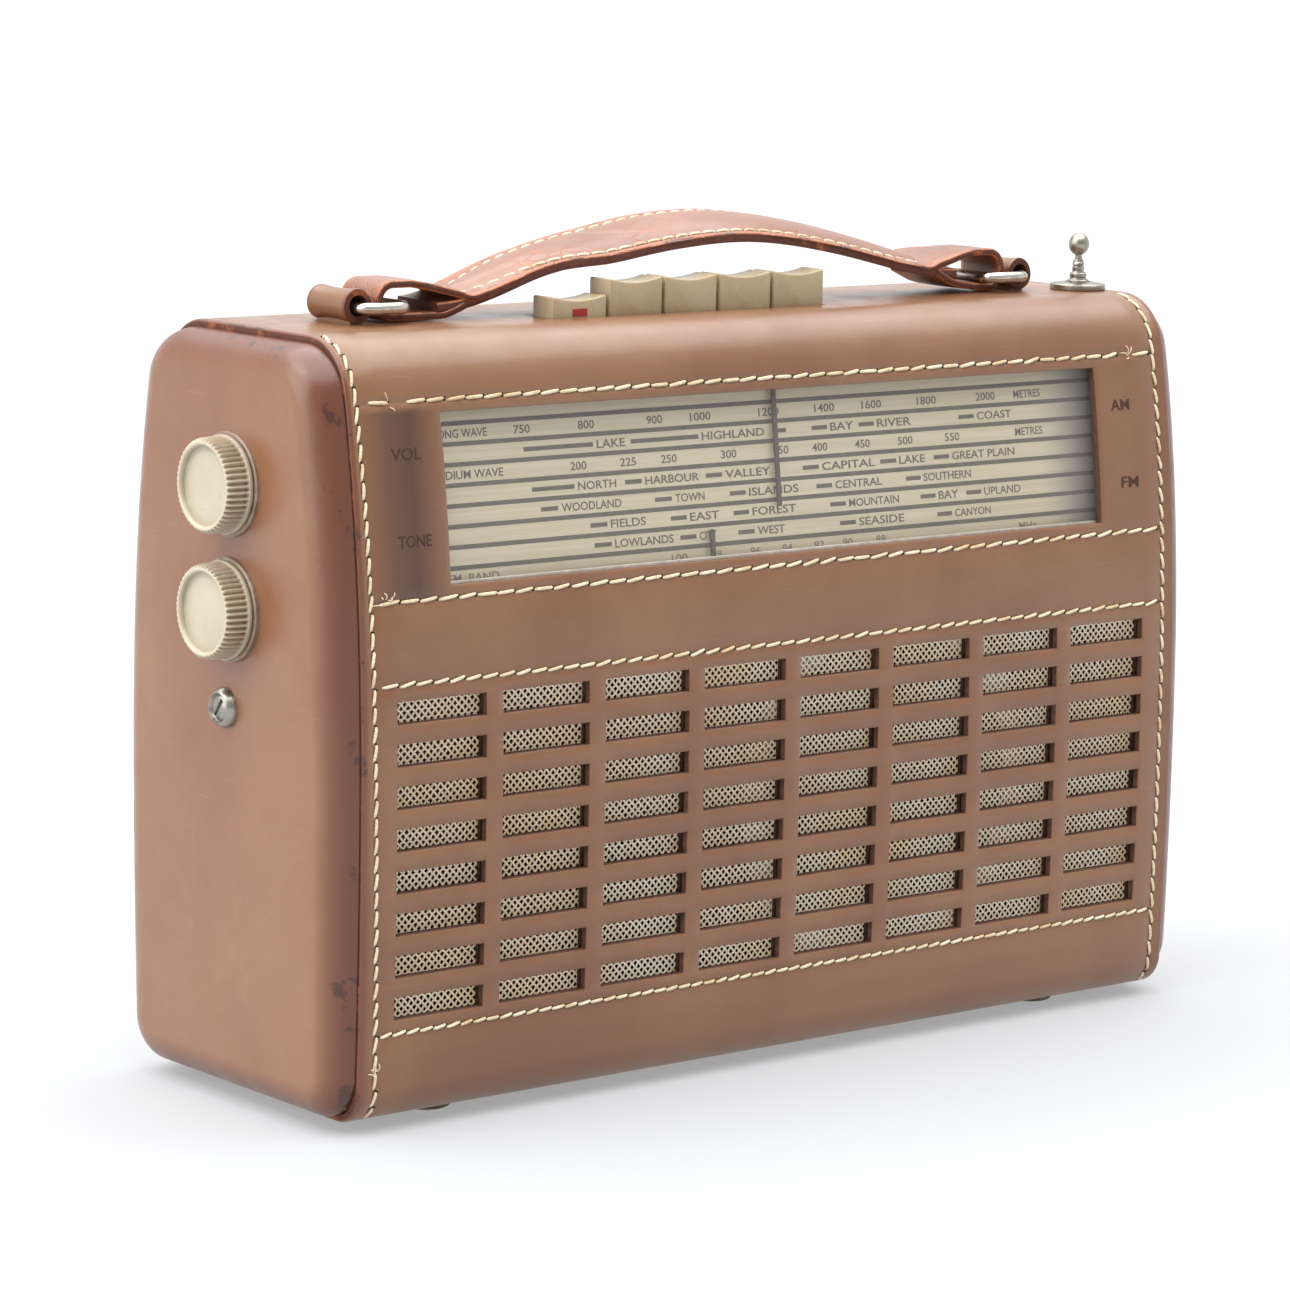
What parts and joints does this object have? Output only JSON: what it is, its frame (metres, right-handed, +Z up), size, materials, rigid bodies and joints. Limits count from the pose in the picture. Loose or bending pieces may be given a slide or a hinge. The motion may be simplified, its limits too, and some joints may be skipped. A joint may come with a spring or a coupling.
{
  "type": "leather portable radio",
  "caption": "Leather-covered portable radio with piano keys on top, a dial window, slotted speaker grille, side knobs, a telescopic rod aerial and a ring-hung carrying strap.",
  "frame": {"origin": "on the ground, under the middle of the case", "axes": "+X right as seen from the front (along the width), -Y front, +Z up"},
  "size_m": [0.3104, 0.0956, 0.216],
  "materials": {
    "tan_leather": "smooth grained tan leather, worn edges",
    "cap_leather": "smooth pinkish tan end leather",
    "strap_leather": "worn cracked leather",
    "case_wood": "bare plywood",
    "board_brown": "dark brown board",
    "grille_cloth": "open woven cream cloth",
    "clear_window": "clear, lightly scratched",
    "dial_metal": "champagne satin with printed bands",
    "ivory_plastic": "moulded ivory",
    "nickel": "nickel plate",
    "plated_steel": "dull plated steel",
    "magnet_grey": "dull",
    "cone_paper": "black pressed paper",
    "phenolic_board": "brown laminate",
    "ferrite": "matt",
    "coil_wire": "enamelled copper wire",
    "black_plastic": "moulded",
    "cell_jacket": "painted cell jacket",
    "pointer_dark": "dark paint",
    "foot_rubber": "olive-grey rubber"
  },
  "bodies": {
    "case": {"leather_wrap": "tan_leather", "back_panel": "tan_leather", "left_end_cap": "cap_leather", "right_end_cap": "cap_leather", "left_handle_tab": "strap_leather", "right_handle_tab": "strap_leather", "case_frame": "case_wood", "grille_board": "board_brown", "grille_cloth": "grille_cloth", "dial_glass": "clear_window", "dial_plate": "dial_metal", "left_coin_screw": "nickel", "right_coin_screw": "nickel", "back_screw_left": "nickel", "back_screw_right": "nickel", "aerial_socket": "nickel", "chassis": "plated_steel", "volume_pot": "plated_steel", "tone_pot": "plated_steel", "tuning_capacitor": "plated_steel", "fm_tuner": "plated_steel", "speaker_basket": "plated_steel", "volume_knob_ring": "plated_steel", "tone_knob_ring": "plated_steel", "am_tuning_knob_ring": "plated_steel", "fm_tuning_knob_ring": "plated_steel", "speaker_magnet": "magnet_grey", "speaker_cone": "cone_paper", "circuit_board": "phenolic_board", "ferrite_rod": "ferrite", "ferrite_coil": "coil_wire", "battery_box": "black_plastic", "key_switch_bank": "black_plastic", "battery_1": "cell_jacket", "battery_2": "cell_jacket", "battery_3": "cell_jacket", "battery_4": "cell_jacket", "foot_front_left": "foot_rubber", "foot_back_left": "foot_rubber", "foot_front_right": "foot_rubber", "foot_back_right": "foot_rubber"},
    "strap": {"handle_strap": "strap_leather"},
    "left_ring": {"left_handle_ring": "nickel"},
    "right_ring": {"right_handle_ring": "nickel"},
    "volume": {"volume_knob": "ivory_plastic"},
    "tone": {"tone_knob": "ivory_plastic"},
    "am_tuning": {"am_tuning_knob": "ivory_plastic"},
    "fm_tuning": {"fm_tuning_knob": "ivory_plastic"},
    "am_needle": {"am_pointer": "pointer_dark"},
    "fm_needle": {"fm_pointer": "pointer_dark"},
    "aerial_1": {"aerial_section_1": "nickel"},
    "aerial_2": {"aerial_section_2": "nickel"},
    "aerial_3": {"aerial_section_3": "nickel"},
    "aerial_4": {"aerial_section_4": "nickel"},
    "key_1": {"band_key_1": "ivory_plastic"},
    "key_2": {"band_key_2": "ivory_plastic"},
    "key_3": {"band_key_3": "ivory_plastic"},
    "key_4": {"band_key_4": "ivory_plastic"},
    "key_5": {"band_key_5": "ivory_plastic"}
  },
  "joints": [
    {"name": "key_1_press", "type": "slide", "parent": "case", "child": "key_1", "axis": [0, 0, 1], "range_m": [0, 0.004]},
    {"name": "key_2_press", "type": "slide", "parent": "case", "child": "key_2", "axis": [0, 0, 1], "range_m": [-0.004, 0], "stiffness_N_per_m": 150},
    {"name": "key_3_press", "type": "slide", "parent": "case", "child": "key_3", "axis": [0, 0, 1], "range_m": [-0.004, 0], "stiffness_N_per_m": 150},
    {"name": "key_4_press", "type": "slide", "parent": "case", "child": "key_4", "axis": [0, 0, 1], "range_m": [-0.004, 0], "stiffness_N_per_m": 150},
    {"name": "key_5_press", "type": "slide", "parent": "case", "child": "key_5", "axis": [0, 0, 1], "range_m": [-0.004, 0], "stiffness_N_per_m": 150},
    {"name": "volume_turn", "type": "hinge", "parent": "case", "child": "volume", "pos_m": [-0.1468, -0.0031, 0.1571], "axis": [-1, 0, 0], "range_deg": [-270, 0]},
    {"name": "tone_turn", "type": "hinge", "parent": "case", "child": "tone", "pos_m": [-0.1468, -0.0031, 0.126], "axis": [-1, 0, 0], "range_deg": [-135, 135]},
    {"name": "am_tuning_turn", "type": "hinge", "parent": "case", "child": "am_tuning", "pos_m": [0.1468, -0.0031, 0.1571], "axis": [1, 0, 0], "range_deg": [-700, 740]},
    {"name": "fm_tuning_turn", "type": "hinge", "parent": "case", "child": "fm_tuning", "pos_m": [0.1468, -0.0031, 0.126], "axis": [1, 0, 0], "range_deg": [-550, 850]},
    {"name": "am_needle_slide", "type": "slide", "parent": "case", "child": "am_needle", "axis": [1, 0, 0], "range_m": [-0.095, 0.1]},
    {"name": "fm_needle_slide", "type": "slide", "parent": "case", "child": "fm_needle", "axis": [1, 0, 0], "range_m": [-0.075, 0.115]},
    {"name": "aerial_slide_1", "type": "slide", "parent": "case", "child": "aerial_1", "axis": [0, 0, 1], "range_m": [0, 0.105]},
    {"name": "aerial_slide_2", "type": "slide", "parent": "aerial_1", "child": "aerial_2", "axis": [0, 0, 1], "range_m": [0, 0.105]},
    {"name": "aerial_slide_3", "type": "slide", "parent": "aerial_2", "child": "aerial_3", "axis": [0, 0, 1], "range_m": [0, 0.105]},
    {"name": "aerial_slide_4", "type": "slide", "parent": "aerial_3", "child": "aerial_4", "axis": [0, 0, 1], "range_m": [0, 0.105]},
    {"name": "strap_lift", "type": "slide", "parent": "case", "child": "strap", "axis": [0, 0, 1], "range_m": [0, 0.008]},
    {"name": "left_ring_swing", "type": "hinge", "parent": "case", "child": "left_ring", "pos_m": [-0.112, 0, 0.1992], "axis": [0, 1, 0], "range_deg": [-36.5, 0]},
    {"name": "right_ring_swing", "type": "hinge", "parent": "case", "child": "right_ring", "pos_m": [0.112, 0, 0.1992], "axis": [0, 1, 0], "range_deg": [0, 36.5]}
  ],
  "couplings": [
    {"joint": "am_needle_slide", "follows": "am_tuning_turn", "m_per_rad": 0.00764},
    {"joint": "fm_needle_slide", "follows": "fm_tuning_turn", "m_per_rad": 0.00764},
    {"joint": "left_ring_swing", "follows": "strap_lift", "rad_per_m": -79.2},
    {"joint": "right_ring_swing", "follows": "strap_lift", "rad_per_m": 79.2}
  ]
}
